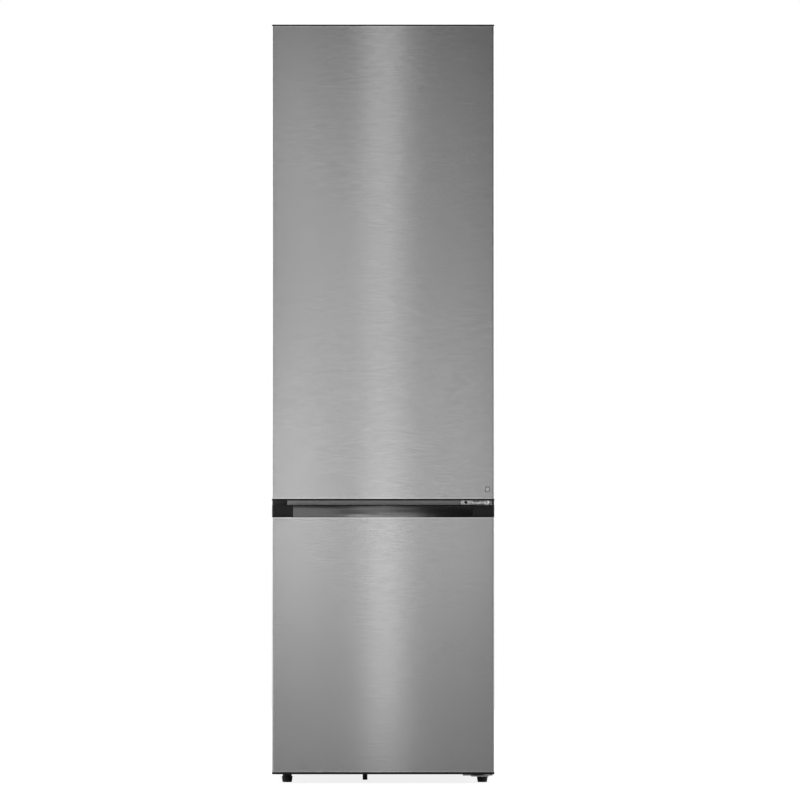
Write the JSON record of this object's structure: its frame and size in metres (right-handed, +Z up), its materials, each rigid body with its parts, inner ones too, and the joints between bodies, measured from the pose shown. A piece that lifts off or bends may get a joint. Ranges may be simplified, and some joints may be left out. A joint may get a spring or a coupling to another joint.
{
  "type": "bottom freezer refrigerator",
  "caption": "Free-standing two-door refrigerator with the freezer below: hinged steel doors with recessed grips, shelves, drawers, door bins and cooling parts in place.",
  "frame": {"origin": "bottom centre of the bounding box, on the floor", "axes": "+Z up, -Y to the front where the doors are, +X to the right seen from the front"},
  "size_m": [0.595, 0.66, 2.03],
  "materials": {
    "door_steel": "brushed across the width",
    "casing_paint": "fine satin powder coat",
    "black_trim": "satin moulded",
    "black_gloss": "high gloss moulded",
    "grey_trim": "satin moulded",
    "white_lining": "vacuum formed, soft gloss",
    "foam": "rigid foam",
    "shelf_glass": "toughened, clear",
    "clear_plastic": "clear moulded",
    "lamp_diffuser": "frosted",
    "gasket_rubber": "soft, matt",
    "dark_rubber": "matt",
    "roller_nylon": "moulded",
    "zinc_steel": "zinc coated",
    "pump_black": "gloss paint",
    "copper": "drawn tube",
    "fin_aluminium": "bare"
  },
  "bodies": {
    "cabinet": {"cabinet_shell": "casing_paint", "cabinet_back": "zinc_steel", "cabinet_foam": "foam", "fridge_liner": "white_lining", "freezer_liner": "white_lining", "mullion_trim": "grey_trim", "base_plate": "zinc_steel", "top_hinge": "zinc_steel", "top_hinge_cover": "black_trim", "middle_hinge": "zinc_steel", "bottom_hinge": "zinc_steel", "hinge_screws": "zinc_steel", "rear_spacers": "black_trim", "drain_tube": "dark_rubber", "compressor": "pump_black", "compressor_grommets": "dark_rubber", "terminal_box": "black_trim", "refrigerant_pipes": "copper", "drip_tray": "black_trim", "compressor_cover": "black_trim", "evaporator": "fin_aluminium", "evaporator_cover": "white_lining", "fan_motor": "black_trim", "air_duct": "white_lining", "control_panel": "white_lining", "led_light": "lamp_diffuser", "fridge_shelves": "shelf_glass", "freezer_shelves": "shelf_glass", "shelf_trims": "white_lining", "crisper_cover": "shelf_glass"},
    "upper_door": {"upper_door_skin": "door_steel", "upper_door_top_cap": "black_trim", "upper_door_bottom_cap": "black_trim", "upper_door_foam": "foam", "upper_door_liner": "white_lining", "upper_door_gasket": "gasket_rubber", "upper_door_bushes": "roller_nylon", "badge": "black_trim"},
    "lower_door": {"lower_door_skin": "door_steel", "lower_door_grip": "black_gloss", "lower_door_bottom_cap": "black_trim", "lower_door_foam": "foam", "lower_door_liner": "white_lining", "lower_door_gasket": "gasket_rubber", "lower_door_bushes": "roller_nylon"},
    "door_bin_1": {"door_bin_1": "clear_plastic"},
    "door_bin_2": {"door_bin_2": "clear_plastic"},
    "door_bin_3": {"door_bin_3": "clear_plastic"},
    "door_bin_4": {"door_bin_4": "clear_plastic"},
    "crisper_drawer": {"crisper_drawer": "clear_plastic"},
    "fresh_drawer": {"fresh_drawer": "clear_plastic"},
    "freezer_drawer_bottom": {"freezer_drawer_bottom": "clear_plastic"},
    "freezer_drawer_middle": {"freezer_drawer_middle": "clear_plastic"},
    "freezer_drawer_top": {"freezer_drawer_top": "clear_plastic"},
    "evaporator_fan": {"evaporator_fan": "roller_nylon"},
    "rear_roller_left": {"rear_roller_left": "roller_nylon"},
    "rear_roller_right": {"rear_roller_right": "roller_nylon"},
    "front_foot_left": {"front_foot_left": "dark_rubber"},
    "front_foot_right": {"front_foot_right": "dark_rubber"}
  },
  "joints": [
    {"name": "upper_door_hinge", "type": "hinge", "parent": "cabinet", "child": "upper_door", "pos_m": [0.2755, -0.2992, 1.39], "axis": [0, 0, 1], "range_deg": [0, 120]},
    {"name": "lower_door_hinge", "type": "hinge", "parent": "cabinet", "child": "lower_door", "pos_m": [0.2755, -0.2992, 0.385], "axis": [0, 0, 1], "range_deg": [0, 120]},
    {"name": "door_bin_1_lift", "type": "slide", "parent": "upper_door", "child": "door_bin_1", "axis": [0, 0, 1], "range_m": [0, 0.028]},
    {"name": "door_bin_2_lift", "type": "slide", "parent": "upper_door", "child": "door_bin_2", "axis": [0, 0, 1], "range_m": [0, 0.028]},
    {"name": "door_bin_3_lift", "type": "slide", "parent": "upper_door", "child": "door_bin_3", "axis": [0, 0, 1], "range_m": [0, 0.028]},
    {"name": "door_bin_4_lift", "type": "slide", "parent": "upper_door", "child": "door_bin_4", "axis": [0, 0, 1], "range_m": [0, 0.028]},
    {"name": "crisper_drawer_slide", "type": "slide", "parent": "cabinet", "child": "crisper_drawer", "axis": [0, -1, 0], "range_m": [0, 0.3]},
    {"name": "fresh_drawer_slide", "type": "slide", "parent": "cabinet", "child": "fresh_drawer", "axis": [0, -1, 0], "range_m": [0, 0.3]},
    {"name": "freezer_drawer_bottom_slide", "type": "slide", "parent": "cabinet", "child": "freezer_drawer_bottom", "axis": [0, -1, 0], "range_m": [0, 0.22]},
    {"name": "freezer_drawer_middle_slide", "type": "slide", "parent": "cabinet", "child": "freezer_drawer_middle", "axis": [0, -1, 0], "range_m": [0, 0.3]},
    {"name": "freezer_drawer_top_slide", "type": "slide", "parent": "cabinet", "child": "freezer_drawer_top", "axis": [0, -1, 0], "range_m": [0, 0.3]},
    {"name": "evaporator_fan_spin", "type": "hinge", "parent": "cabinet", "child": "evaporator_fan", "pos_m": [0, 0.206, 0.61], "axis": [0, 1, 0], "continuous": true},
    {"name": "rear_roller_left_spin", "type": "hinge", "parent": "cabinet", "child": "rear_roller_left", "pos_m": [-0.2375, 0.288, 0.0125], "axis": [1, 0, 0], "continuous": true},
    {"name": "rear_roller_right_spin", "type": "hinge", "parent": "cabinet", "child": "rear_roller_right", "pos_m": [0.2375, 0.288, 0.0125], "axis": [1, 0, 0], "continuous": true},
    {"name": "front_foot_left_turn", "type": "hinge", "parent": "cabinet", "child": "front_foot_left", "pos_m": [-0.258, -0.2352, 0.03], "axis": [0, 0, 1], "continuous": true},
    {"name": "front_foot_right_turn", "type": "hinge", "parent": "cabinet", "child": "front_foot_right", "pos_m": [0.266, -0.2352, 0.03], "axis": [0, 0, 1], "continuous": true}
  ],
  "couplings": [
    {"joint": "crisper_drawer_slide", "follows": "upper_door_hinge", "m_per_rad": 0.092},
    {"joint": "fresh_drawer_slide", "follows": "upper_door_hinge", "m_per_rad": 0.092},
    {"joint": "freezer_drawer_bottom_slide", "follows": "lower_door_hinge", "m_per_rad": 0.069},
    {"joint": "freezer_drawer_middle_slide", "follows": "lower_door_hinge", "m_per_rad": 0.069},
    {"joint": "freezer_drawer_top_slide", "follows": "lower_door_hinge", "m_per_rad": 0.069}
  ]
}
